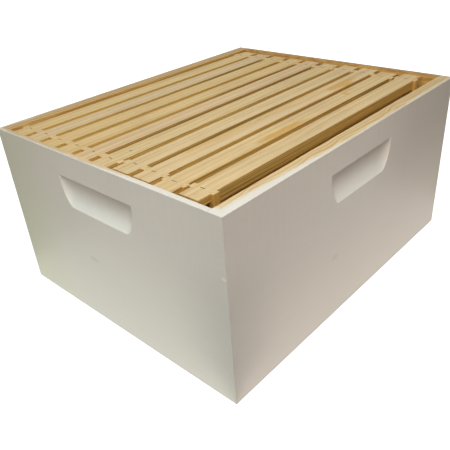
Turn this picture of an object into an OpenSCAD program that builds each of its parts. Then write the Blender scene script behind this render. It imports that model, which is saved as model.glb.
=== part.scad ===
// Ten-frame deep hive body with its ten removable comb frames.
// Origin: centre of the footprint, at the bottom rim. +X runs along the frames, +Z is up.

/* [Hive body] */
// Outside length of the box, along the frames
body_l = 504.8; // [480:0.1:530]
// Outside width of the box, across the frames
body_w = 412.8; // [411:0.1:440]
// Outside height of the box
body_h = 244.5; // [240:0.1:300]
// Thickness of the wall boards
board_t = 19.05; // [18:0.05:20]
// Number of interlocking fingers up each corner, an odd number
fingers = 7; // [5:2:9]

/* [Frame rests] */
// Depth of the rebate that the frame lugs hang in, below the top rim
rest_depth = 12.7; // [12:0.1:19]
// Width of the rebate, measured into the end wall
rest_w = 11.9; // [10:0.1:13]

/* [Hand holds] */
// Width of the straight bottom edge of each hand hold
hold_w = 103; // [80:1:110]
// Height of each hand hold
hold_h = 42.5; // [30:0.5:50]
// Distance from the top rim down to the hand hold's ceiling
hold_drop = 32; // [25:1:60]
// Depth of the hand hold under its ceiling
hold_depth = 9.4; // [5:0.1:12]
// Radius of the rounded ends at the ceiling
hold_end_r = 23; // [18:1:40]

/* [Frames] */
// Overall length of a top bar with its lugs
top_bar_l = 482.6; // [480:0.1:484]
// Width of a top bar
top_bar_w = 27; // [25:0.1:29]
// Thickness of a top bar between the end bars
top_bar_t = 14.3; // [14:0.1:22]
// Thickness of the lugs at the ends of a top bar
lug_t = 9.5; // [8:0.1:11]
// Overall height of a frame
frame_h = 231.8; // [225:0.1:235]
// Distance between the outer faces of a frame's end bars
frame_l = 447.7; // [440:0.1:455]
// Width of the spacing shoulders on the end bars
shoulder_w = 34.9; // [34:0.1:35.5]
// Height of the spacing shoulders
shoulder_h = 89; // [70:1:110]
// Width of the end bars below the shoulders
end_bar_w = 28.6; // [26:0.1:30]
// Thickness of the end bars
end_bar_t = 9.5; // [8:0.1:10]
// Width of the bottom bar
bottom_bar_w = 19; // [17:0.1:22]
// Thickness of the bottom bar
bottom_bar_t = 9.5; // [8:0.1:11]

/* [Foundation] */
// Length of the foundation sheet
sheet_l = 425.4; // [418:0.1:427]
// Height of the foundation sheet
sheet_h = 217.4; // [210:0.1:218]
// Thickness of the foundation sheet
sheet_t = 2.4; // [1:0.1:3]

/* [Nails] */
// Length of the corner nails
nail_l = 57; // [45:1:64]
// Diameter of the nail shanks
nail_d = 2.9; // [2.5:0.1:3.5]
// Diameter of the nail heads
nail_head_d = 7; // [5:0.1:8]

/* [Hidden] */
$fn = 64;
frame_count = 10;
finger_h = body_h / fingers;
inside_l = body_l - 2 * board_t;
inside_w = body_w - 2 * board_t;
rest_z = body_h - rest_depth;
frame_top = rest_z + lug_t;
frame_base = frame_top - frame_h;
// A cutter is taken this far past each face that it opens
over = 1;

// The hand hold is the track of a bell-shaped cutter that travels sideways
hold_top = body_h - hold_drop;
hold_base = hold_top - hold_h;
hold_axis = hold_end_r - hold_depth;
hold_curve = (hold_h * hold_h + hold_depth * hold_depth) / (2 * hold_depth);

// Necks where the end bars fork round the top bar, and the foundation's grooves
neck_w = 22.2;
shoulder_slope = 6;
groove_w = 3.2;
top_groove = 6.4;
bottom_groove = 4.8;

nail_head_t = 1.2;
nail_tip = 5;
nail_fit = 0.05;
nail_level = 0.4;

// Clear gap on the far side of each frame, counted from the +Y wall
gaps = [0.3, 0.3, 0.8, 0.3, 0.3, 0.3, 0.3, 0.3, 0.3, 0.9];
// How far each frame has been pushed along its rests
slides = [-3, -3, -3, -3, -3, -3, 2, 2, -2.5, 3];

paint = [0.93, 0.92, 0.89];
pine = [0.87, 0.73, 0.5];
wax = [0.86, 0.68, 0.3];
steel = [0.6, 0.6, 0.6];

function frame_name(piece, n) = str(piece, n < 10 ? "_0" : "_", n);

// Sum of the clear gaps from the +Y wall to frame n
function gap_sum(n) = n == 0 ? 0 : gaps[n - 1] + gap_sum(n - 1);

function frame_y(n) = inside_w / 2 - gap_sum(n) - (n - 0.5) * shoulder_w;

// A block centred on X and Y that stands on the plane z = 0
module block(l, w, h) {
    translate([-l / 2, -w / 2, 0])
        cube([l, w, h]);
}

// Half profile of the hand-hold cutter: straight axis, one arc that meets the wall face at its foot
module hold_profile() {
    intersection() {
        translate([0, hold_base])
            square([hold_end_r, hold_h]);
        union() {
            translate([hold_end_r - hold_curve, hold_top])
                circle(r = hold_curve, $fn = 256);
            translate([0, hold_base])
                square([hold_axis, hold_h]);
        }
    }
}

// Hand hold for a wall whose outer face is the plane y = 0 and whose wood lies at y > 0
module hand_hold() {
    translate([0, -hold_axis, 0]) {
        for (side = [-1, 1])
            translate([side * hold_w / 2, 0, 0])
                rotate_extrude($fn = 128)
                    hold_profile();
        translate([hold_w / 2, 0, 0])
            rotate([90, 0, -90])
                linear_extrude(hold_w)
                    mirror([1, 0])
                        hold_profile();
    }
}

// Hole for a nail driven along +X from the plane x = 0, with a seat for its head
module nail_hole() {
    rotate([0, 90, 0]) {
        translate([0, 0, -over])
            cylinder(d = nail_head_d + 2 * nail_fit, h = nail_head_t + over);
        cylinder(d = nail_d + 2 * nail_fit, h = nail_l + over);
    }
}

module nail() {
    rotate([0, 90, 0]) {
        cylinder(d = nail_head_d, h = nail_head_t);
        cylinder(d = nail_d, h = nail_l - nail_tip);
        translate([0, 0, nail_l - nail_tip])
            cylinder(d1 = nail_d, d2 = 0.4, h = nail_tip);
    }
}

// Puts one nail in each finger of all four corners. Side-wall fingers are nailed
// into the end walls, and end-wall fingers into the side walls.
module at_nails() {
    for (sx = [-1, 1], sy = [-1, 1], row = [0 : fingers - 1]) {
        level = (row + nail_level) * finger_h;
        if (row % 2 == 0)
            translate([sx * (body_l - board_t) / 2, sy * body_w / 2, level])
                rotate([0, 0, -90 * sy])
                    children();
        else
            translate([sx * body_l / 2, sy * (body_w - board_t) / 2, level])
                rotate([0, 0, 90 + 90 * sx])
                    children();
    }
}

// Side wall on the -Y side: notches for the end walls' fingers in the odd rows
module side_wall() {
    color(paint)
        difference() {
            translate([0, -(body_w - board_t) / 2, 0])
                block(body_l, board_t, body_h);
            for (side = [-1, 1], row = [1 : 2 : fingers - 2])
                translate([side * body_l / 2, -body_w / 2, row * finger_h])
                    block(2 * board_t, 2 * board_t, finger_h);
            translate([0, -body_w / 2, 0])
                hand_hold();
            at_nails()
                nail_hole();
        }
}

// How far a notch in a row of fingers is taken past the board's lower and upper edge
function below(row) = row == 0 ? over : 0;
function above(row) = row == fingers - 1 ? over : 0;

// End wall on the -X side: notches in the even rows, a rebate for the frame lugs
module end_wall() {
    color(paint)
        difference() {
            translate([-(body_l - board_t) / 2, 0, 0])
                block(board_t, body_w, body_h);
            for (side = [-1, 1], row = [0 : 2 : fingers - 1])
                translate([-body_l / 2, side * body_w / 2, row * finger_h - below(row)])
                    block(3 * board_t, 2 * board_t, finger_h + below(row) + above(row));
            translate([-inside_l / 2 - rest_w, -inside_w / 2, rest_z])
                cube([rest_w + over, inside_w, rest_depth + over]);
            translate([-body_l / 2, 0, 0])
                rotate([0, 0, -90])
                    hand_hold();
            at_nails()
                nail_hole();
        }
}

module side_wall_near() {
    side_wall();
}

module side_wall_far() {
    mirror([0, 1, 0])
        side_wall();
}

module end_wall_left() {
    end_wall();
}

module end_wall_right() {
    mirror([1, 0, 0])
        end_wall();
}

module corner_nails() {
    color(steel)
        at_nails()
            nail();
}

// Moves a piece of frame to the place of frame n, hanging on its rests
module at_frame(n) {
    translate([slides[n - 1], frame_y(n), frame_base])
        children();
}

// Bar with two necks for the forks of the end bars, lugs and a groove underneath
module top_bar() {
    color(pine)
        difference() {
            translate([0, 0, frame_h - top_bar_t])
                block(top_bar_l, top_bar_w, top_bar_t);
            for (side = [-1, 1]) {
                translate([side * top_bar_l / 2, 0, frame_h - top_bar_t - over])
                    block(top_bar_l - frame_l + 2 * end_bar_t, 2 * top_bar_w, top_bar_t - lug_t + over);
                for (edge = [-1, 1])
                    translate([side * (frame_l - end_bar_t) / 2, edge * neck_w, frame_h - top_bar_t - over])
                        block(end_bar_t, neck_w, top_bar_t + 2 * over);
            }
            translate([0, 0, frame_h - top_bar_t - over])
                block(frame_l - 2 * end_bar_t, groove_w, top_groove + over);
        }
}

// Forked end bar with spacing shoulders, standing at x = 0
module end_bar() {
    color(pine)
        difference() {
            translate([-end_bar_t / 2, 0, 0])
                rotate([90, 0, 90])
                    linear_extrude(end_bar_t)
                        polygon([
                            [-end_bar_w / 2, 0],
                            [end_bar_w / 2, 0],
                            [end_bar_w / 2, frame_h - shoulder_h - shoulder_slope],
                            [shoulder_w / 2, frame_h - shoulder_h],
                            [shoulder_w / 2, frame_h],
                            [-shoulder_w / 2, frame_h],
                            [-shoulder_w / 2, frame_h - shoulder_h],
                            [-end_bar_w / 2, frame_h - shoulder_h - shoulder_slope]
                        ]);
            translate([0, 0, frame_h - lug_t])
                block(2 * end_bar_t, neck_w, lug_t + over);
            translate([0, 0, -over])
                block(2 * end_bar_t, bottom_bar_w, bottom_bar_t + over);
        }
}

module bottom_bar() {
    color(pine)
        difference() {
            block(frame_l, bottom_bar_w, bottom_bar_t);
            translate([0, 0, bottom_bar_t - bottom_groove])
                block(frame_l - 2 * end_bar_t, groove_w, bottom_groove + over);
        }
}

// Sheet that stands in the bottom bar's groove and reaches up into the top bar's groove
module foundation() {
    color(wax)
        translate([0, 0, bottom_bar_t - bottom_groove])
            block(sheet_l, sheet_t, sheet_h);
}

end_wall_left();
end_wall_right();
side_wall_near();
side_wall_far();
corner_nails();
for (n = [1 : frame_count]) {
    at_frame(n) top_bar();
    at_frame(n) translate([-(frame_l - end_bar_t) / 2, 0, 0]) end_bar();
    at_frame(n) translate([(frame_l - end_bar_t) / 2, 0, 0]) end_bar();
    at_frame(n) bottom_bar();
    at_frame(n) foundation();
}
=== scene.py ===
"""Looks of the hive body and its ten frames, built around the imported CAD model.

Everything is in metres in the part's own frame: +X along the frames, +Y across them, +Z up,
origin at the middle of the underside. A board's grain runs along X, Y or Z as it was cut.
"""

import math

import bmesh
import bpy
from mathutils import Matrix, Vector


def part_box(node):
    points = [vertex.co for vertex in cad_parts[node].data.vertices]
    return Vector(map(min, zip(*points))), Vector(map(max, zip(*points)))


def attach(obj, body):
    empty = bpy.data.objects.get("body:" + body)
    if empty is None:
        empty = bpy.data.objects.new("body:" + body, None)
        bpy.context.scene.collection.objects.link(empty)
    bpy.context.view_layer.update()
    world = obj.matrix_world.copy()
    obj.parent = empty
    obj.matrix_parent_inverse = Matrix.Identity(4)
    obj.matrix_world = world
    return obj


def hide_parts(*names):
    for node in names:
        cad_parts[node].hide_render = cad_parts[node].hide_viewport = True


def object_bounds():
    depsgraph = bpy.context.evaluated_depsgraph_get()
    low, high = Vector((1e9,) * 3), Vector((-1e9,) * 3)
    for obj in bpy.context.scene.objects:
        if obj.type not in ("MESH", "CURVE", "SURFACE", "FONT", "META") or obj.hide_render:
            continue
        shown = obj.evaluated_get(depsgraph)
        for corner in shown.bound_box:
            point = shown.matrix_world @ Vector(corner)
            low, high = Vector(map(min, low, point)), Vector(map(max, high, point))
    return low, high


MM = 0.001

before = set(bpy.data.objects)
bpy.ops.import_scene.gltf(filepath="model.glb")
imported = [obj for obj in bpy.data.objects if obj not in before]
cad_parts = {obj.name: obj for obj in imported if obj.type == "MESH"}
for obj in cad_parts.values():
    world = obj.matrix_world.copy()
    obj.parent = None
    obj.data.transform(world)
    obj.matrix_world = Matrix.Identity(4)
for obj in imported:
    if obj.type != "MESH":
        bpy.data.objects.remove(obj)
cad_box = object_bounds()

HALF_L, HALF_W, HEIGHT = cad_box[1]
FRAMES = range(1, 11)
LEFT, RIGHT = -1, 1


# ---------------------------------------------------------------- node graphs


class Graph:
    """The nodes of one material, with a short call for each kind that the materials use."""

    def __init__(self, name):
        self.material = bpy.data.materials.new(name)
        self.material.use_nodes = True
        self.tree = self.material.node_tree
        self.tree.nodes.clear()
        self.shader = self.tree.nodes.new("ShaderNodeBsdfPrincipled")
        output = self.tree.nodes.new("ShaderNodeOutputMaterial")
        self.tree.links.new(self.shader.outputs["BSDF"], output.inputs["Surface"])
        coordinates = self.tree.nodes.new("ShaderNodeTexCoord")
        self.place = coordinates.outputs["Object"]
        self.normal = coordinates.outputs["Normal"]

    def feed(self, socket, value):
        """Links an output to a socket, or sets the socket to a plain value."""
        if isinstance(value, bpy.types.NodeSocket):
            self.tree.links.new(value, socket)
        elif socket.type == "RGBA" and len(value) == 3:
            socket.default_value = (*value, 1.0)
        else:
            socket.default_value = value

    def set(self, name, value):
        """Gives one of the shader's own inputs its value."""
        self.feed(self.shader.inputs[name], value)

    def math(self, operation, a, b=0.0, clamp=False):
        node = self.tree.nodes.new("ShaderNodeMath")
        node.operation = operation
        node.use_clamp = clamp
        for socket, value in zip(node.inputs, (a, b)):
            self.feed(socket, value)
        return node.outputs[0]

    def add(self, a, b):
        return self.math("ADD", a, b)

    def times(self, a, b):
        return self.math("MULTIPLY", a, b)

    def split(self, vector):
        node = self.tree.nodes.new("ShaderNodeSeparateXYZ")
        self.feed(node.inputs[0], vector)
        return node.outputs[0], node.outputs[1], node.outputs[2]

    def join(self, x, y, z):
        node = self.tree.nodes.new("ShaderNodeCombineXYZ")
        for socket, value in zip(node.inputs, (x, y, z)):
            self.feed(socket, value)
        return node.outputs[0]

    def stretch(self, vector, scale, shift=(0, 0, 0)):
        """The vector scaled along each axis, then shifted."""
        node = self.tree.nodes.new("ShaderNodeMapping")
        self.feed(node.inputs["Vector"], vector)
        node.inputs["Scale"].default_value = scale
        node.inputs["Location"].default_value = shift
        return node.outputs[0]

    def noise(self, vector, detail=2.0, roughness=0.5, distortion=0.0):
        """Noise around 0.5 with one feature to each unit of the vector."""
        node = self.tree.nodes.new("ShaderNodeTexNoise")
        self.feed(node.inputs["Vector"], vector)
        node.inputs["Scale"].default_value = 1.0
        node.inputs["Detail"].default_value = detail
        node.inputs["Roughness"].default_value = roughness
        node.inputs["Distortion"].default_value = distortion
        return node.outputs["Fac"]

    def rise(self, value, low, high, start=0.0, end=1.0):
        """A smooth step from start at low to end at high."""
        node = self.tree.nodes.new("ShaderNodeMapRange")
        node.interpolation_type = "SMOOTHSTEP"
        for name, number in (
            ("Value", value),
            ("From Min", low),
            ("From Max", high),
            ("To Min", start),
            ("To Max", end),
        ):
            self.feed(node.inputs[name], number)
        return node.outputs[0]

    def mix(self, share, a, b, kind="MIX"):
        """The colour a, going over to b by share."""
        node = self.tree.nodes.new("ShaderNodeMix")
        node.data_type = "RGBA"
        node.blend_type = kind
        self.feed(node.inputs["Factor"], share)
        self.feed(node.inputs[6], a)
        self.feed(node.inputs[7], b)
        return node.outputs[2]

    def shade(self, colour, value):
        """The colour made lighter or darker by a value around 1."""
        node = self.tree.nodes.new("ShaderNodeVectorMath")
        node.operation = "SCALE"
        self.feed(node.inputs[0], colour)
        self.feed(node.inputs["Scale"], value)
        return node.outputs[0]

    def bump(self, height, distance, strength=1.0, below=None):
        """A normal from a height of 0 to 1, which stands for a real relief of distance."""
        node = self.tree.nodes.new("ShaderNodeBump")
        node.inputs["Strength"].default_value = strength
        node.inputs["Distance"].default_value = distance
        self.feed(node.inputs["Height"], height)
        if below is not None:
            self.feed(node.inputs["Normal"], below)
        return node.outputs[0]


# ---------------------------------------------------------------- wood


# Pale and dark wood, and the resin and heartwood in it
PINE_PALE = (0.63, 0.48, 0.246)
PINE_DARK = (0.483, 0.311, 0.117)
HEARTWOOD = (0.518, 0.298, 0.06)
# Painted warm shade on the faces of the frames' bars, and of the walls, that don't look up, as a
# tone on the plain wood
SIDE_SHADE_TONE = (1.20, 0.975, 0.485)
WALL_SIDE_SHADE_TONE = (1.07, 0.855, 0.485)
# And the painted bounce light that makes the top bars' sides paler towards their left ends
SIDE_BOUNCE_LIGHT = (1.08, 1.14, 1.22)

# Features to a metre of wood, along the grain and across it both ways
STREAKS = (4.0, 230.0, 230.0)
FIBRES = (60.0, 640.0, 640.0)
CLOUDS = (8.0, 30.0, 30.0)
FLECKS = (190.0, 900.0, 900.0)
SAW_LINES = (3.0, 560.0, 560.0)
RAGGED_EDGE = (40.0, 330.0, 330.0)

GRAIN_AXES = {"x": (0, 1, 2), "y": (1, 0, 2), "z": (2, 0, 1)}


def grain_place(g, along):
    """The place on the piece, turned so that the first coordinate runs along the grain."""
    parts = g.split(g.place)
    a, b, c = GRAIN_AXES[along]
    return g.join(parts[a], parts[b], parts[c])


def pine(g, place, seed, pith, ring, pale, dark, warp=5.0, contrast=0.5, figure=6.0):
    """Colour, relief and growth line of sawn pine.

    The growth rings run round a line along the grain, which passes through pith, in mm off the
    origin. ring is their spacing in mm, warp how far they wander, in mm, contrast how dark they
    are and figure how often they swing in a metre of board.
    """
    shift = (seed * 7.3, seed * 3.1, seed * 5.7)
    wander = g.noise(g.stretch(place, (figure, 16.0, 16.0), shift), detail=1.5)
    wander = g.times(g.add(wander, -0.5), warp * 2 * MM)
    _, across, up = g.split(place)
    across = g.add(g.add(across, -pith[0] * MM), wander)
    up = g.add(g.add(up, -pith[1] * MM), g.times(wander, 0.6))
    reach = g.math("SQRT", g.add(g.times(across, across), g.times(up, up)))
    uneven = g.noise(g.join(g.times(reach, 90.0), seed, 0.0), detail=1.0)
    turns = g.add(g.times(reach, 1 / (ring * MM)), g.times(uneven, 1.8))
    part = g.math("FRACT", turns)
    late = g.times(g.rise(part, 0.25, 0.85), g.rise(part, 0.85, 1.0, 1.0, 0.0))

    streak = g.noise(g.stretch(place, STREAKS, shift), detail=3.0, roughness=0.6)
    fibre = g.noise(g.stretch(place, FIBRES, shift), detail=3.0, roughness=0.7)
    cloud = g.noise(g.stretch(place, CLOUDS, shift), detail=2.5, roughness=0.6)
    fleck = g.noise(g.stretch(place, FLECKS, shift), detail=1.0)

    depth = g.add(g.times(late, contrast), g.times(g.add(streak, -0.42), 1.1))
    depth = g.math("ADD", depth, g.times(g.add(fibre, -0.5), 0.95), clamp=True)
    colour = g.mix(depth, pale, dark)
    tone = g.add(0.80, g.times(cloud, 0.34))
    tone = g.add(tone, g.rise(fleck, 0.60, 0.74, 0.0, 0.05))
    colour = g.shade(colour, tone)
    relief = g.add(g.times(late, 0.5), g.times(fibre, 0.5))
    return colour, relief, late


def painted_side_shade(g, colour, tone=SIDE_SHADE_TONE):
    """The colour turned to a deeper, warmer tone on the faces that don't look up: painted warm
    shade.
    """
    up = g.split(g.normal)[2]
    deep = g.mix(1.0, colour, tone, "MULTIPLY")
    return g.mix(g.rise(up, 0.35, 0.8), deep, colour)


def painted_bounce_sides(g, place, colour):
    """The colour made paler towards the left end, on the faces that don't look up: painted bounce
    light.
    """
    along, up = g.split(place)[0], g.split(g.normal)[2]
    share = g.times(g.rise(along, 90 * MM, -60 * MM), g.rise(up, 0.8, 0.35))
    return g.mix(share, colour, SIDE_BOUNCE_LIGHT, "MULTIPLY")


def saw_lines(g, place, colour, amount=0.4):
    """Thin dark lines that the saw left along the grain, on the faces that don't look up."""
    up = g.split(g.normal)[2]
    line = g.noise(g.stretch(place, SAW_LINES, (2.0, 0, 0)), detail=1.0)
    depth = g.times(g.rise(line, 0.50, 0.60), g.rise(up, 0.8, 0.35))
    return g.shade(colour, g.math("SUBTRACT", 1.0, g.times(depth, amount)))


def patch_reach(g, u, v, centre, half):
    """How far a point at u, v in metres is from a patch's middle, 1 at its outline.

    centre and half are the patch's middle and half size in mm.
    """
    u = g.times(g.add(u, -centre[0] * MM), 1 / (half[0] * MM))
    v = g.times(g.add(v, -centre[1] * MM), 1 / (half[1] * MM))
    return g.math("SQRT", g.add(g.times(u, u), g.times(v, v)))


def stain(g, place, centre, half, amount, seed):
    """How strongly a point lies in a patch of resin or heartwood with a ragged edge.

    centre and half are the patch's middle and half size in mm, along and across the grain.
    """
    along, across, _ = g.split(place)
    ragged = g.noise(g.stretch(place, RAGGED_EDGE, (seed, 0, 0)), detail=3.0)
    far = patch_reach(g, along, across, centre, half)
    far = g.add(far, g.times(g.add(ragged, -0.5), 1.7))
    return g.rise(far, 1.08, 0.66, 0.0, amount)


def finish_wood(g, colour, relief, depth=0.12, roughness=0.56):
    """Gives the shader bare wood's colour, dull sheen and grain, depth mm deep."""
    g.set("Base Color", colour)
    g.set("Roughness", g.add(roughness, g.times(relief, 0.14)))
    g.set("Specular IOR Level", 0.32)
    g.set("Normal", g.bump(relief, depth * MM))
    return g.material


# Tone of each top bar against the plain pine, red, green and blue
BAR_TONES = {
    1: (0.99, 0.99, 0.92),
    2: (0.97, 0.99, 1.10),
    3: (0.96, 0.94, 0.84),
    4: (0.96, 0.95, 0.88),
    5: (0.96, 0.95, 1.04),
    6: (0.96, 0.96, 0.94),
    7: (0.97, 0.98, 1.02),
    8: (0.97, 0.97, 1.02),
    9: (0.98, 0.97, 0.96),
    10: (0.98, 0.98, 1.00),
}

# Resin and heartwood patches on the top bars: middle and half size in mm, strength
BAR_STAINS = {
    8: [((-105, 9), (70, 6), 0.5), ((152, -3), (42, 9), 0.8), ((40, 10), (90, 6), 0.4)],
    9: [((-47, -7), (60, 6), 0.95), ((116, 4), (4, 9), 0.8), ((128, 8), (14, 3), 0.7)],
}

# Pin knots on the top bars: middle in mm, and the half size and strength they share
BAR_KNOTS = {6: (-195, 0)}
KNOT_HALF, KNOT_AMOUNT = (2.6, 2.2), 0.8


def top_bar_pine(number):
    """Planed pine of one top bar, with its own rings, tone, patches and knots, and painted warm
    shade and bounce light on its sides.
    """
    g = Graph(f"top_bar_pine_{number:02d}")
    place = grain_place(g, "x")
    lo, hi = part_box(f"top_bar_{number:02d}")
    middle = (lo + hi) / 2 / MM
    tone = BAR_TONES[number]
    pale = [c * t for c, t in zip(PINE_PALE, tone)]
    dark = [c * t for c, t in zip(PINE_DARK, tone)]
    side = 1 if number % 2 else -1
    pith = (middle.y + side * (18 + 9 * (number % 4)), middle.z - 45 + 6 * (number % 5))
    ring = 6.0 + 1.2 * (number % 3)
    colour, relief, _ = pine(g, place, number, pith, ring, pale, dark, contrast=0.42)
    for (u, v), half, amount in BAR_STAINS.get(number, []):
        colour = g.mix(stain(g, place, (u, middle.y + v), half, amount, number), colour, HEARTWOOD)
    if number in BAR_KNOTS:
        along, across, _ = g.split(place)
        u, v = BAR_KNOTS[number]
        colour = g.shade(colour, scuff(g, along, across, (u, middle.y + v), KNOT_HALF, KNOT_AMOUNT))
    # Painted warm shade on the bar's sides, then painted bounce light towards their left ends
    colour = painted_bounce_sides(g, place, painted_side_shade(g, colour))
    return finish_wood(g, saw_lines(g, place, colour), relief)


def frame_pine(number, along):
    """Sawn pine of a frame's end bars or bottom bar, with painted warm shade on the faces that
    don't look up.
    """
    g = Graph(f"frame_pine_{number:02d}_{along}")
    place = grain_place(g, along)
    tone = 0.95 + 0.02 * (number % 4)
    pale = [c * tone for c in PINE_PALE]
    dark = [c * tone for c in PINE_DARK]
    pith = (40 + 13 * (number % 5), 200 - 31 * (number % 3))
    colour, relief, _ = pine(g, place, 40 + number, pith, 4.0, pale, dark)
    # Painted warm shade on the faces that don't look up
    return finish_wood(g, painted_side_shade(g, colour), relief, depth=0.18, roughness=0.62)


# ---------------------------------------------------------------- painted boards


PAINT = (0.81, 0.775, 0.665)
# Painted shade on the paint of the rims, and a painted tint of the light on the side walls and at
# the head and foot of the end walls
RIM_PAINTED_SHADE = (0.785, 0.80, 0.82)
SIDE_LIGHT_TINT = (1.06, 0.97, 0.95)
END_HEAD_LIGHT_TINT, END_FOOT_LIGHT_TINT = (1.015, 0.985, 0.985), (1.0, 1.015, 1.0)
# And painted light towards the foot of the hand holds, where their floor turns up
FOOT_PAINTED_LIGHT = (1.10, 1.18, 1.22)
# And painted shade at the far half of the left end wall and the upper right of the near side wall,
# and a darker tone low down round the corner between the two
LEFT_END_FAR_SHADE, SIDE_UPPER_RIGHT_SHADE, CORNER_TONE = (0.96, 0.985, 0.89), (0.86, 0.85, 0.84), (0.90, 0.905, 0.915)
# How far behind an outer plane a face, such as a hand hold's, still counts as painted
FACE_DEPTH = 12 * MM


def near_plane(g, place, half):
    """1 where a coordinate is near the outer plane at half, on either side, and 0 elsewhere."""
    return g.math("GREATER_THAN", g.math("ABSOLUTE", place), half - FACE_DEPTH)


def outward(g):
    """How far the surface faces out of the box, for faces near its four outer planes."""
    px, py, _ = g.split(g.place)
    nx, ny, _ = g.split(g.normal)
    shares = []
    for place, normal, half in ((px, nx, HALF_L), (py, ny, HALF_W)):
        facing = g.times(normal, g.math("SIGN", place))
        shares.append(g.times(near_plane(g, place, half), facing))
    return g.math("MAXIMUM", *shares)


def outer_gap(g):
    """How far a point is inside the nearest outer plane of the four walls."""
    px, py, _ = g.split(g.place)
    gaps = [
        g.math("SUBTRACT", half, g.math("ABSOLUTE", place))
        for place, half in ((px, HALF_L), (py, HALF_W))
    ]
    return g.math("MINIMUM", *gaps)


def end_ripples(g):
    """Fine level ripples of raised fibre beside the corners of the end walls."""
    facing = g.math("ABSOLUTE", g.split(g.normal)[0])
    _, across, up = g.split(g.place)
    ripple = g.noise(g.stretch(g.place, (40.0, 60.0, 430.0)), detail=2.5, distortion=0.5)
    gap = g.math("SUBTRACT", HALF_W, g.math("ABSOLUTE", across))
    beside = g.rise(gap, 34 * MM, 8 * MM)
    strong = g.rise(up, 145 * MM, 205 * MM, 0.1, 1.0)
    return g.times(g.times(ripple, g.times(strong, beside)), g.rise(facing, 0.6, 0.9))


def scuff(g, u, v, centre, half, amount):
    """A soft dark smudge on a face, or a pale one if amount is negative, to shade with."""
    return g.rise(patch_reach(g, u, v, centre, half), 0.2, 1.0, 1 - amount, 1.0)


# Smudges and a chip on the left end wall and the near side wall: middle and half size in mm
# across and up, strength
END_MARKS = (
    ((31, 101), (13, 5), 0.10),
    ((4 - HALF_W / MM, 173), (5, 3), -0.22),
)
SIDE_MARK = ((-55, 93), (10, 5), 0.08)


def paint_colour(g, brush, roller):
    """White paint with a painted tint of the light on each face, painted shade and light, faint
    brush tracks, drips and smudges.
    """
    px, py, pz = g.split(g.place)
    nx, ny, nz = (g.math("ABSOLUTE", part) for part in g.split(g.normal))
    soft = g.noise(g.stretch(g.place, (6.0, 6.0, 9.0)), detail=2.0)
    drip = g.noise(g.stretch(g.place, (170.0, 170.0, 5.0)), detail=2.0)
    tone = g.add(0.95, g.add(g.times(soft, 0.07), g.times(brush, 0.03)))
    tone = g.add(tone, g.times(g.add(roller, -0.5), 0.02))
    tone = g.add(tone, g.times(g.add(drip, -0.5), g.rise(pz, 110 * MM, 220 * MM, 0.0, 0.05)))
    paint = g.shade(PAINT, tone)
    end = g.times(near_plane(g, px, HALF_L), g.rise(nx, 0.15, 0.45))
    side = g.times(near_plane(g, py, HALF_W), g.rise(ny, 0.15, 0.45))
    # A painted tint of the light, from the foot to the head of the end walls, and on the side walls
    end_light_tint = g.mix(g.rise(pz, 70 * MM, 215 * MM), END_FOOT_LIGHT_TINT, END_HEAD_LIGHT_TINT)
    paint = g.mix(end, paint, end_light_tint, "MULTIPLY")
    paint = g.mix(side, paint, SIDE_LIGHT_TINT, "MULTIPLY")
    # Painted light where a hand hold's floor turns up towards its foot
    foot = g.times(g.math("MAXIMUM", end, side), g.rise(nz, 0.14, 0.38))
    paint = g.mix(foot, paint, FOOT_PAINTED_LIGHT, "MULTIPLY")
    # Painted shade on the paint of faces that look up
    paint = g.mix(g.rise(nz, 0.8, 0.95), paint, RIM_PAINTED_SHADE, "MULTIPLY")
    left = g.times(end, g.math("LESS_THAN", px, 0.0))
    near = g.times(side, g.math("LESS_THAN", py, 0.0))
    # Painted shade, where less light falls, over the far half of the left end wall
    left_far_shade = g.times(left, g.rise(py, 40 * MM, HALF_W))
    paint = g.mix(left_far_shade, paint, LEFT_END_FAR_SHADE, "MULTIPLY")
    # Painted shade, where the light falls off, over the upper right of the near side wall
    upper_right_shade = g.times(near, g.times(g.rise(px, 0.0, 170 * MM), g.rise(pz, 70 * MM, 230 * MM)))
    paint = g.mix(upper_right_shade, paint, SIDE_UPPER_RIGHT_SHADE, "MULTIPLY")
    corner = g.math("MAXIMUM", g.add(px, HALF_L), g.add(py, HALF_W))
    corner = g.times(g.rise(corner, 90 * MM, 0.0), g.rise(pz, 200 * MM, 130 * MM))
    corner = g.times(corner, g.rise(pz, 10 * MM, 60 * MM))
    paint = g.mix(corner, paint, CORNER_TONE, "MULTIPLY")
    marks = g.times(*(scuff(g, py, pz, *mark) for mark in END_MARKS))
    paint = g.mix(left, paint, g.shade(paint, marks))
    marks = scuff(g, px, pz, *SIDE_MARK)
    return g.mix(near, paint, g.shade(paint, marks))


# Where along a board the extra cover of its rim starts and is whole, and how far its edge wanders
COVER_FADE = (230 * MM, 20 * MM)
COVER_SWING, COVER_SPECKLE = 7 * MM, 3.5 * MM
# How far beyond that edge the spray ends and short of it is whole, and how much of the wood it
# hides there
SPRAY_EDGE, SPRAY_COVER = (5.0 * MM, -3.5 * MM), 0.94
# How long the painted shade on a rim's bare wood takes to come in
SHADE_RUN = 80 * MM
# Depth of the wood's grain, of the paint's brush and roller tracks, and of the ripples
GRAIN_RELIEF, FILM_RELIEF, RIPPLE_RELIEF = 0.10 * MM, 0.07 * MM, 0.6 * MM


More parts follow.
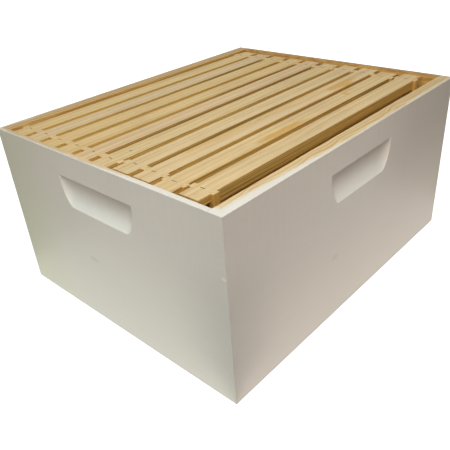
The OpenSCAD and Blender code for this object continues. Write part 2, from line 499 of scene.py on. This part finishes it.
def painted_board(wall, along, seed, cover, corner_cover, pith, rim_painted_shade, shade_start):
    """White paint over pine outside, bare pine inside, and overspray on the top and bottom rims.

    cover is how far in from the outer edge the paint reaches over a rim, in mm, and corner_cover
    how much further it reaches at the board's near end, where it dies away along the board.
    rim_painted_shade is the painted shade on the rim's bare wood beyond shade_start, in mm from the
    near end.
    """
    g = Graph(f"painted_{wall}")
    place = grain_place(g, along)
    px, py, _ = g.split(g.place)
    wood, relief, late = pine(
        g, place, seed, pith, 5.0, PINE_PALE, PINE_DARK, warp=17.0, contrast=0.85, figure=17.0
    )
    # Painted warm shade on the bare wood's faces that don't look up
    wood = saw_lines(g, place, painted_side_shade(g, wood, WALL_SIDE_SHADE_TONE), 0.2)

    run = g.add(py, HALF_W) if along == "y" else g.add(px, HALF_L)
    up = g.split(g.normal)[2]
    start = shade_start * MM
    # Painted shade on the bare wood of the rim, from shade_start on
    rim = g.times(g.rise(up, 0.8, 0.95), g.rise(run, start, start + SHADE_RUN))
    wood = g.mix(rim, wood, rim_painted_shade, "MULTIPLY")

    fade = g.rise(run, *COVER_FADE)
    edge = g.noise(g.stretch(place, (34.0, 40.0, 40.0)), detail=4.0, roughness=0.62)
    mist = g.noise(g.stretch(place, (260.0, 700.0, 700.0)), detail=2.0)
    reach = g.add(cover * MM, g.times(fade, corner_cover * MM))
    reach = g.add(reach, g.times(g.add(edge, -0.5), COVER_SWING))
    reach = g.add(reach, g.times(g.add(mist, -0.5), COVER_SPECKLE))
    depth = g.math("SUBTRACT", outer_gap(g), reach)
    spray = g.rise(depth, *SPRAY_EDGE)
    flat = g.math("GREATER_THAN", g.math("ABSOLUTE", up), 0.5)
    face = g.rise(outward(g), 0.05, 0.3)
    share = g.math("MAXIMUM", face, g.times(g.times(spray, flat), SPRAY_COVER))

    brush = g.noise(g.stretch(place, (16.0, 200.0, 200.0), (seed, 0, 0)), detail=3.0)
    roller = g.noise(g.stretch(place, (150.0, 150.0, 150.0), (seed, 0, 0)), detail=2.0)
    paint = paint_colour(g, brush, roller)

    g.set("Base Color", g.mix(share, wood, paint))
    g.set("Roughness", g.rise(share, 0.0, 1.0, 0.62, 0.46))
    g.set("Specular IOR Level", 0.4)
    film = g.add(g.times(late, 0.12), g.add(g.times(brush, 0.5), g.times(roller, 0.38)))
    grain = g.bump(g.times(relief, g.rise(share, 0.0, 1.0, 1.0, 0.12)), GRAIN_RELIEF)
    coat = g.bump(film, FILM_RELIEF, 0.6, below=grain)
    coat = g.bump(end_ripples(g), RIPPLE_RELIEF, below=coat)
    g.set("Normal", coat)
    return g.material


# ---------------------------------------------------------------- other materials


def wax(name):
    """Wax-coated foundation, with a cloudy tone, fine specks and a waxy sheen."""
    g = Graph(name)
    cloud = g.noise(g.stretch(g.place, (18.0, 18.0, 18.0)), detail=3.0)
    speck = g.noise(g.stretch(g.place, (500.0, 500.0, 500.0)), detail=2.0)
    colour = g.mix(cloud, (0.80, 0.55, 0.14), (0.88, 0.68, 0.26))
    g.set("Base Color", g.shade(colour, g.add(0.93, g.times(speck, 0.14))))
    g.set("Roughness", g.add(0.36, g.times(speck, 0.16)))
    g.set("Normal", g.bump(speck, 0.05 * MM))
    return g.material


def wire(name):
    """Dull galvanised wire of the staples."""
    g = Graph(name)
    scratch = g.noise(g.stretch(g.place, (900.0, 120.0, 900.0)), detail=3.0)
    g.set("Base Color", g.mix(scratch, (0.04, 0.032, 0.025), (0.13, 0.11, 0.09)))
    g.set("Metallic", 0.6)
    g.set("Roughness", g.add(0.5, g.times(scratch, 0.2)))
    g.set("Normal", g.bump(scratch, 0.02 * MM))
    return g.material


# ---------------------------------------------------------------- CAD nodes


# Points nearer than this are one
WELD = 0.005 * MM
# Width in mm of a softened edge, and of the nails' edges
SOFT_EDGE, NAIL_EDGE = 0.35, 0.04


def dress(node, material, edge=SOFT_EDGE):
    """Gives a CAD node its material and softens its edges, edge mm wide."""
    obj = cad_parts[node]
    for slot in obj.material_slots:
        slot.material = material
    weld = obj.modifiers.new("weld", "WELD")
    weld.merge_threshold = WELD
    whole = obj.modifiers.new("whole", "DECIMATE")
    whole.decimate_type = "DISSOLVE"
    whole.angle_limit = math.radians(0.5)
    bevel = obj.modifiers.new("bevel", "BEVEL")
    bevel.width = edge * MM
    bevel.segments = 2
    bevel.limit_method = "ANGLE"
    bevel.angle_limit = math.radians(40)
    bevel.harden_normals = True


# The cutter of the hand holds: middle of its rounded ends, its axis outside the wall, its top and
# foot, and the radius of its curve
HOLD_HALF, HOLD_AXIS, HOLD_TOP, HOLD_BASE, HOLD_CURVE = (
    length * MM for length in (51.5, 13.6, 212.5, 170.0, 100.775)
)
# A point this near a plane lies on it, and a rim's inner edge is longer than this
TOUCHING = 0.01 * MM
RIM_EDGE = 300 * MM
# Room above the hold and past its rounded ends' middles in which a curved face is part of it
HOLD_ROOM_UP, HOLD_ROOM_ASIDE = MM, 25 * MM


def is_flat(face):
    """True for a face square to one of the part's axes."""
    return max(abs(c) for c in face.normal) > 0.9999


def outer_planes(point):
    """How many of the box's six outer planes a point lies on."""
    gaps = (
        HALF_L - abs(point.x),
        HALF_W - abs(point.y),
        min(point.z, HEIGHT - point.z),
    )
    return sum(gap < TOUCHING for gap in gaps)


def on_rim(edge):
    """True for an edge along the inner side of the top rim."""
    a, b = (vertex.co for vertex in edge.verts)
    level = all(HEIGHT - point.z < TOUCHING for point in (a, b))
    return level and edge.calc_length() > RIM_EDGE


def hold_normal(point, side, along):
    """The normal of a hand hold's curved floor at a point, from the shape of its cutter."""
    u = point.y if along == "y" else point.x
    out = side * (point.x if along == "y" else point.y)
    depth = (HALF_L if along == "y" else HALF_W) - out
    middle = max(-HOLD_HALF, min(HOLD_HALF, u))
    level = Vector((u - middle, depth + HOLD_AXIS)).normalized()
    rise = (HOLD_TOP - point.z) / HOLD_CURVE
    flat = math.sqrt(max(0.0, 1 - rise * rise))
    across, outer = -level.x * flat, side * level.y * flat
    return Vector((outer, across, rise)) if along == "y" else Vector((across, outer, rise))


def softened(node, edge):
    """A copy of a CAD board's mesh with whole flat faces, its outer edges rounded edge mm wide."""
    mesh = bmesh.new()
    mesh.from_mesh(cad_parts[node].data)
    bmesh.ops.remove_doubles(mesh, verts=mesh.verts, dist=WELD)
    flat_verts = [v for v in mesh.verts if all(is_flat(f) for f in v.link_faces)]
    flat_edges = [e for e in mesh.edges if all(is_flat(f) for f in e.link_faces)]
    bmesh.ops.dissolve_limit(
        mesh, angle_limit=math.radians(0.3), verts=flat_verts, edges=flat_edges
    )
    outer = [
        e
        for e in mesh.edges
        if e.is_manifold
        and e.calc_face_angle() > math.radians(60)
        and (outer_planes((e.verts[0].co + e.verts[1].co) / 2) > 1 or on_rim(e))
    ]
    bmesh.ops.bevel(
        mesh,
        geom=outer,
        offset=edge * MM,
        offset_type="OFFSET",
        segments=2,
        profile=0.5,
        affect="EDGES",
        clamp_overlap=True,
    )
    for face in mesh.faces:
        face.smooth = not is_flat(face)
    data = bpy.data.meshes.new(f"{node}_board")
    mesh.to_mesh(data)
    mesh.free()
    return data


def smooth_hold(data, side, along):
    """Gives the curved floor of a board's hand hold the normals of the true curve."""
    normals = []
    for face in data.polygons:
        middle = face.center
        curved = face.use_smooth and HOLD_BASE < middle.z < HOLD_TOP + HOLD_ROOM_UP
        aside = abs(middle.y if along == "y" else middle.x)
        curved = curved and aside < HOLD_HALF + HOLD_ROOM_ASIDE
        for index in face.vertices:
            point = data.vertices[index].co
            normals.append(hold_normal(point, side, along) if curved else face.normal.copy())
    data.normals_split_custom_set(normals)


def add_board(node, material, side, along):
    """Stands a painted board in for a wall, with the wall's own shape and rounded edges."""
    data = softened(node, SOFT_EDGE)
    smooth_hold(data, side, along)
    data.materials.append(material)
    board = bpy.data.objects.new(f"{node}_board", data)
    bpy.context.scene.collection.objects.link(board)
    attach(board, "hive_body")
    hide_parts(node)


# Each wall's side of the box, and the rest of what painted_board takes
BOARDS = {
    "end_wall_left": dict(
        side=LEFT, along="y", seed=61, cover=1.2, corner_cover=10.5,
        pith=(-60, 40), rim_painted_shade=(0.82, 0.82, 0.80), shade_start=210,
    ),
    "end_wall_right": dict(
        side=RIGHT, along="y", seed=62, cover=-3.0, corner_cover=0.0,
        pith=(90, 300), rim_painted_shade=(0.61, 0.545, 0.38), shade_start=-100,
    ),
    "side_wall_near": dict(
        side=LEFT, along="x", seed=63, cover=1.6, corner_cover=9.0,
        pith=(-150, 210), rim_painted_shade=(1.0, 1.0, 1.0), shade_start=500,
    ),
    "side_wall_far": dict(
        side=RIGHT, along="x", seed=64, cover=0.8, corner_cover=2.5,
        pith=(260, 160), rim_painted_shade=(0.84, 0.78, 0.68), shade_start=-100,
    ),
}


def dress_walls():
    """Paints the walls, and the nail heads with the paint of the last of them."""
    for wall, look in BOARDS.items():
        look = dict(look)
        side = look.pop("side")
        material = painted_board(wall, **look)
        add_board(wall, material, side, look["along"])
    dress("corner_nails", material, edge=NAIL_EDGE)


def dress_frames():
    """Gives each frame's bars their own pine, the two end bars the same one."""
    for number in FRAMES:
        label = f"{number:02d}"
        upright = frame_pine(number, "z")
        dress(f"top_bar_{label}", top_bar_pine(number))
        dress(f"bottom_bar_{label}", frame_pine(number, "x"))
        for side in ("left", "right"):
            dress(f"end_bar_{side}_{label}", upright)


# ---------------------------------------------------------------- foundation


# Width of a cell, thickness of the wax, and how far its points are pressed in or stand out
CELL, CORE, BASE_DEPTH = 5.4 * MM, 1.2 * MM, 0.55 * MM


def embossed_sheet(width, height):
    """A sheet in the XZ plane, pressed on both faces with the three-sided bases of the cells.

    Cell middles and corners make a lattice of triangles. On one face every third point is a cell's
    deep middle, on the other face it is the next point, as in real comb.
    """
    rows = round(height / (CELL / math.sqrt(3)))
    columns = 2 * round(width / CELL)
    step = height / rows
    points = []
    lines = []
    for k in range(columns + 1):
        x = width * (k / columns - 0.5)
        odd = k % 2
        heights = [j * step for j in range(rows + 1)]
        if odd:
            heights = [0.0] + [(j + 0.5) * step for j in range(rows)] + [height]
        line = []
        for j, z in enumerate(heights):
            rim = k in (0, columns) or j in (0, len(heights) - 1)
            kind = (j - 2 * odd) % 3
            lift = 0.0 if rim else (-BASE_DEPTH, BASE_DEPTH, 0.0)[kind]
            line.append(len(points))
            points.append((x, lift, z))
        lines.append(line)
    faces = []
    for k in range(columns):
        even, odd = (lines[k], lines[k + 1]) if k % 2 == 0 else (lines[k + 1], lines[k])
        turn = 1 if k % 2 == 0 else -1
        for j in range(rows + 1):
            faces.append((even[j], odd[j], odd[j + 1])[::turn])
        for j in range(rows):
            faces.append((even[j], odd[j + 1], even[j + 1])[::turn])
    count = len(points)
    rim = (
        [line[0] for line in lines]
        + lines[-1][1:]
        + [line[-1] for line in lines[-2::-1]]
        + lines[0][-2:0:-1]
    )
    front = [(x, y - CORE / 2, z) for x, y, z in points]
    back = [(x, y + CORE / 2, z) for x, y, z in points]
    behind = [tuple(i + count for i in face[::-1]) for face in faces]
    edge = [(b, a, a + count, b + count) for a, b in zip(rim, rim[1:] + rim[:1])]
    mesh = bpy.data.meshes.new("foundation_sheet")
    mesh.from_pydata(front + back, [], faces + behind + edge)
    return mesh


def add_foundation():
    """Hangs an embossed sheet in each frame, in the place of its plain CAD sheet."""
    lo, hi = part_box("foundation_01")
    mesh = embossed_sheet(hi.x - lo.x, hi.z - lo.z)
    mesh.materials.append(wax("foundation_wax"))
    for number in FRAMES:
        lo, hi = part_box(f"foundation_{number:02d}")
        sheet = bpy.data.objects.new(f"embossed_foundation_{number:02d}", mesh)
        sheet.location = ((lo.x + hi.x) / 2, (lo.y + hi.y) / 2, lo.z)
        bpy.context.scene.collection.objects.link(sheet)
        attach(sheet, f"frame_{number:02d}")
        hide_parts(f"foundation_{number:02d}")


# ---------------------------------------------------------------- staples


# A staple's crown and legs, the radius of its bends, and how far it stands above the wood
CROWN, LEG, BEND, PROUD = 7.5 * MM, 24.0 * MM, 0.8 * MM, 0.12 * MM
# Its flattened wire, and the wire's outline in half widths and half heights
WIRE_WIDTH, WIRE_HEIGHT = 1.2 * MM, 0.6 * MM
WIRE_OUTLINE = (
    (-1, -0.6), (-0.6, -1), (0.6, -1), (1, -0.6), (1, 0.6), (0.6, 1), (-0.6, 1), (-1, 0.6),
)
# How far off the bar's middle it was driven, and how far it strays and turns from that
OFF_MIDDLE = 2.2 * MM
STRAY_ALONG, STRAY_ACROSS, STRAY_TURN = 0.9 * MM, 1.0 * MM, 0.16


def staple_line():
    """The wire's middle line in the YZ plane, from one leg's tip to the other, top at z = 0."""
    half = CROWN / 2
    line = [(-half, -LEG)]
    for side, start in ((LEFT, 180), (RIGHT, 90)):
        for step in range(5):
            angle = math.radians(start - 22.5 * step)
            y = side * (half - BEND) + BEND * math.cos(angle)
            line.append((y, -BEND + BEND * math.sin(angle)))
    line.append((half, -LEG))
    return line


def staple_mesh(places):
    """One mesh with a staple at each place and turn, swept from a flattened wire."""
    line = staple_line()
    mesh = bmesh.new()
    for place, turn in places:
        spin = Matrix.Rotation(turn, 3, "Z")
        rings = []
        for index, point in enumerate(line):
            before = Vector(line[max(index - 1, 0)])
            after = Vector(line[min(index + 1, len(line) - 1)])
            run = (after - before).normalized()
            out = Vector((-run.y, run.x)) * WIRE_HEIGHT / 2
            ring = []
            for across, up in WIRE_OUTLINE:
                y, z = Vector(point) + out * up
                co = spin @ Vector((across * WIRE_WIDTH / 2, y, z - WIRE_HEIGHT / 2)) + place
                ring.append(mesh.verts.new(co))
            rings.append(ring)
        for a, b in zip(rings, rings[1:]):
            for i in range(len(a)):
                after = (i + 1) % len(a)
                mesh.faces.new((a[i], a[after], b[after], b[i]))
        mesh.faces.new(rings[0][::-1])
        mesh.faces.new(rings[-1])
    bmesh.ops.recalc_face_normals(mesh, faces=mesh.faces)
    data = bpy.data.meshes.new("staples")
    mesh.to_mesh(data)
    mesh.free()
    return data


def add_staples():
    """Two staples to a frame, one down through the top bar into each end bar."""
    material = wire("staple_wire")
    for number in FRAMES:
        label = f"{number:02d}"
        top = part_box(f"top_bar_{label}")[1].z
        places = []
        for side in ("left", "right"):
            lo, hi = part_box(f"end_bar_{side}_{label}")
            middle = (lo + hi) / 2
            stray = math.sin(number * 2.4 + middle.x * 40)
            turn = STRAY_TURN * math.cos(number * 5.1 + middle.x * 40)
            x = middle.x + STRAY_ALONG * stray
            y = middle.y + (OFF_MIDDLE - STRAY_ACROSS * stray)
            places.append((Vector((x, y, top + PROUD)), turn))
        data = staple_mesh(places)
        data.materials.append(material)
        staples = bpy.data.objects.new(f"frame_staples_{label}", data)
        bpy.context.scene.collection.objects.link(staples)
        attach(staples, f"frame_{label}")


# ---------------------------------------------------------------- stage


# The photograph's camera: its place, how it is turned, and its lens
EYE = (-0.5534, -0.5043, 0.4885)
AZIMUTH, ELEVATION, ROLL = (math.radians(a) for a in (-45.616, 30.765, -4.394))
LENS, SENSOR = 43.49, 36.0


def add_camera():
    """The photograph's camera, above the near left corner and rolled a little."""
    back = Vector(
        (
            math.sin(AZIMUTH) * math.cos(ELEVATION),
            -math.cos(AZIMUTH) * math.cos(ELEVATION),
            math.sin(ELEVATION),
        )
    )
    right = Vector((0, 0, 1)).cross(back).normalized()
    up = back.cross(right)
    side = right * math.cos(ROLL) + up * math.sin(ROLL)
    top = up * math.cos(ROLL) - right * math.sin(ROLL)
    data = bpy.data.cameras.new("camera")
    data.lens = LENS
    data.sensor_width = SENSOR
    camera = bpy.data.objects.new("camera", data)
    camera.matrix_world = Matrix.Translation(EYE) @ Matrix((side, top, back)).transposed().to_4x4()
    bpy.context.scene.collection.objects.link(camera)
    bpy.context.scene.camera = camera


def add_light(name, place, target, size, level):
    """A soft white rectangular light, size metres wide and high, that shows radiance level."""
    data = bpy.data.lights.new(name, "AREA")
    data.shape = "RECTANGLE"
    data.size, data.size_y = size
    data.energy = level * math.pi * size[0] * size[1]
    light = bpy.data.objects.new(name, data)
    light.location = place
    light.rotation_euler = (Vector(target) - Vector(place)).to_track_quat("-Z", "Y").to_euler()
    light.visible_camera = False
    bpy.context.scene.collection.objects.link(light)


# Radiance of the world overhead, at the horizon and below it; the heights at which the horizon's
# glow ends, and how softly
SKY_LEVEL, GLOW_LEVEL, GROUND_LEVEL = 0.36, 0.90, 0.0
GLOW_FOOT, GLOW_TOP, GLOW_SOFTNESS = -0.02, 0.17, 0.01
# How far the cards lie out from the walls, and how far they run past the walls' far ends
CARD_REACH = 0.30
CARD_PAST_END, CARD_PAST_SIDE = 0.055, 0.085
# Radiance of the cards before the end and side walls, at the near and the far side
CARD_LEVELS = {LEFT: (0.80, 0.73), RIGHT: (0.46, 0.42)}


def add_lights():
    """Softboxes overhead and at the left, and a white card before each wall."""
    add_light("key", (-0.45, -0.45, 1.15), (0, 0, 0.1), (0.7, 0.7), 5.7)
    add_light("far_key", (0.45, 0.45, 1.15), (0, 0, 0.1), (0.7, 0.7), 2.0)
    add_light("top_left", (-0.6, 0, 1.1), (0, 0, 0.1), (0.7, 0.7), 0.81)
    add_light("left", (-1.2, 0, 0.5), (0, 0, 0.1), (1.0, 0.8), 0.33)
    for side in (LEFT, RIGHT):
        x = side * (HALF_L + CARD_REACH / 2)
        y = side * (HALF_W + CARD_REACH / 2)
        end, flank = CARD_LEVELS[side]
        shift = CARD_PAST_END / 2
        size = (CARD_REACH, 2 * HALF_W + CARD_PAST_END)
        add_light(f"card_end_{side}", (x, shift, MM), (x, shift, 1), size, end)
        shift = CARD_PAST_SIDE / 2
        size = (2 * HALF_L + CARD_PAST_SIDE, CARD_REACH)
        add_light(f"card_side_{side}", (shift, y, MM), (shift, y, 1), size, flank)


def add_world():
    """Even light from overhead, with a brighter band along the horizon."""
    world = bpy.data.worlds.new("studio")
    world.use_nodes = True
    tree = world.node_tree
    tree.nodes.clear()
    place = tree.nodes.new("ShaderNodeTexCoord")
    split = tree.nodes.new("ShaderNodeSeparateXYZ")
    light = tree.nodes.new("ShaderNodeBackground")
    output = tree.nodes.new("ShaderNodeOutputWorld")
    tree.links.new(place.outputs["Generated"], split.inputs[0])
    levels = []
    for edge, low, high in (
        (GLOW_FOOT, GROUND_LEVEL, GLOW_LEVEL),
        (GLOW_TOP, 0.0, SKY_LEVEL - GLOW_LEVEL),
    ):
        level = tree.nodes.new("ShaderNodeMapRange")
        level.inputs["From Min"].default_value = edge - GLOW_SOFTNESS
        level.inputs["From Max"].default_value = edge + GLOW_SOFTNESS
        level.inputs["To Min"].default_value = low
        level.inputs["To Max"].default_value = high
        tree.links.new(split.outputs[2], level.inputs["Value"])
        levels.append(level.outputs[0])
    total = tree.nodes.new("ShaderNodeMath")
    for socket, level in zip(total.inputs, levels):
        tree.links.new(level, socket)
    tree.links.new(total.outputs[0], light.inputs["Strength"])
    tree.links.new(light.outputs[0], output.inputs["Surface"])
    bpy.context.scene.world = world


def white_material(name):
    """A pale matt surface bright enough to read as plain white."""
    g = Graph(name)
    cloud = g.noise(g.stretch(g.place, (3.0, 3.0, 3.0)), detail=2.0)
    g.set("Base Color", g.shade((0.5, 0.5, 0.5), g.add(0.98, g.times(cloud, 0.04))))
    g.set("Roughness", 0.8)
    g.set("Emission Color", (1, 1, 1))
    g.set("Emission Strength", 1.0)
    return g.material


def add_stage_mesh(name, points, faces):
    """A part of the studio that only the camera sees, so that it casts no light on the hive."""
    mesh = bpy.data.meshes.new(name)
    mesh.from_pydata(points, [], faces)
    mesh.materials.append(white_material(f"pale_{name}"))
    obj = bpy.data.objects.new(name, mesh)
    obj.visible_diffuse = False
    obj.visible_glossy = False
    bpy.context.scene.collection.objects.link(obj)
    return obj


FLOOR_REACH, FLOOR_DROP = 30.0, 0.2 * MM
DOME_REACH, DOME_STEPS, DOME_RINGS = FLOOR_REACH * 0.95, 48, 12


def add_floor():
    """A white floor a hair under the hive."""
    corners = [(-1, -1), (1, -1), (1, 1), (-1, 1)]
    points = [(x * FLOOR_REACH, y * FLOOR_REACH, -FLOOR_DROP) for x, y in corners]
    add_stage_mesh("floor", points, [(0, 1, 2, 3)])


def add_surround():
    """A white dome over the floor, which lets the world's light through."""
    points = [(0, 0, DOME_REACH)]
    faces = []
    for ring in range(1, DOME_RINGS + 1):
        lean = math.pi / 2 * ring / DOME_RINGS
        out, up = DOME_REACH * math.sin(lean), DOME_REACH * math.cos(lean)
        for step in range(DOME_STEPS):
            turn = 2 * math.pi * step / DOME_STEPS
            points.append((out * math.cos(turn), out * math.sin(turn), up))
    for step in range(DOME_STEPS):
        after = (step + 1) % DOME_STEPS
        faces.append((0, 1 + step, 1 + after))
        for ring in range(DOME_RINGS - 1):
            upper, lower = 1 + ring * DOME_STEPS, 1 + (ring + 1) * DOME_STEPS
            faces.append((upper + step, lower + step, lower + after, upper + after))
    surround = add_stage_mesh("surround", points, faces)
    surround.visible_shadow = False
    surround.visible_transmission = False


# ---------------------------------------------------------------- the scene


bpy.context.scene.view_settings.view_transform = "Standard"
add_camera()
add_world()
add_lights()
add_floor()
add_surround()
dress_walls()
dress_frames()
add_foundation()
add_staples()
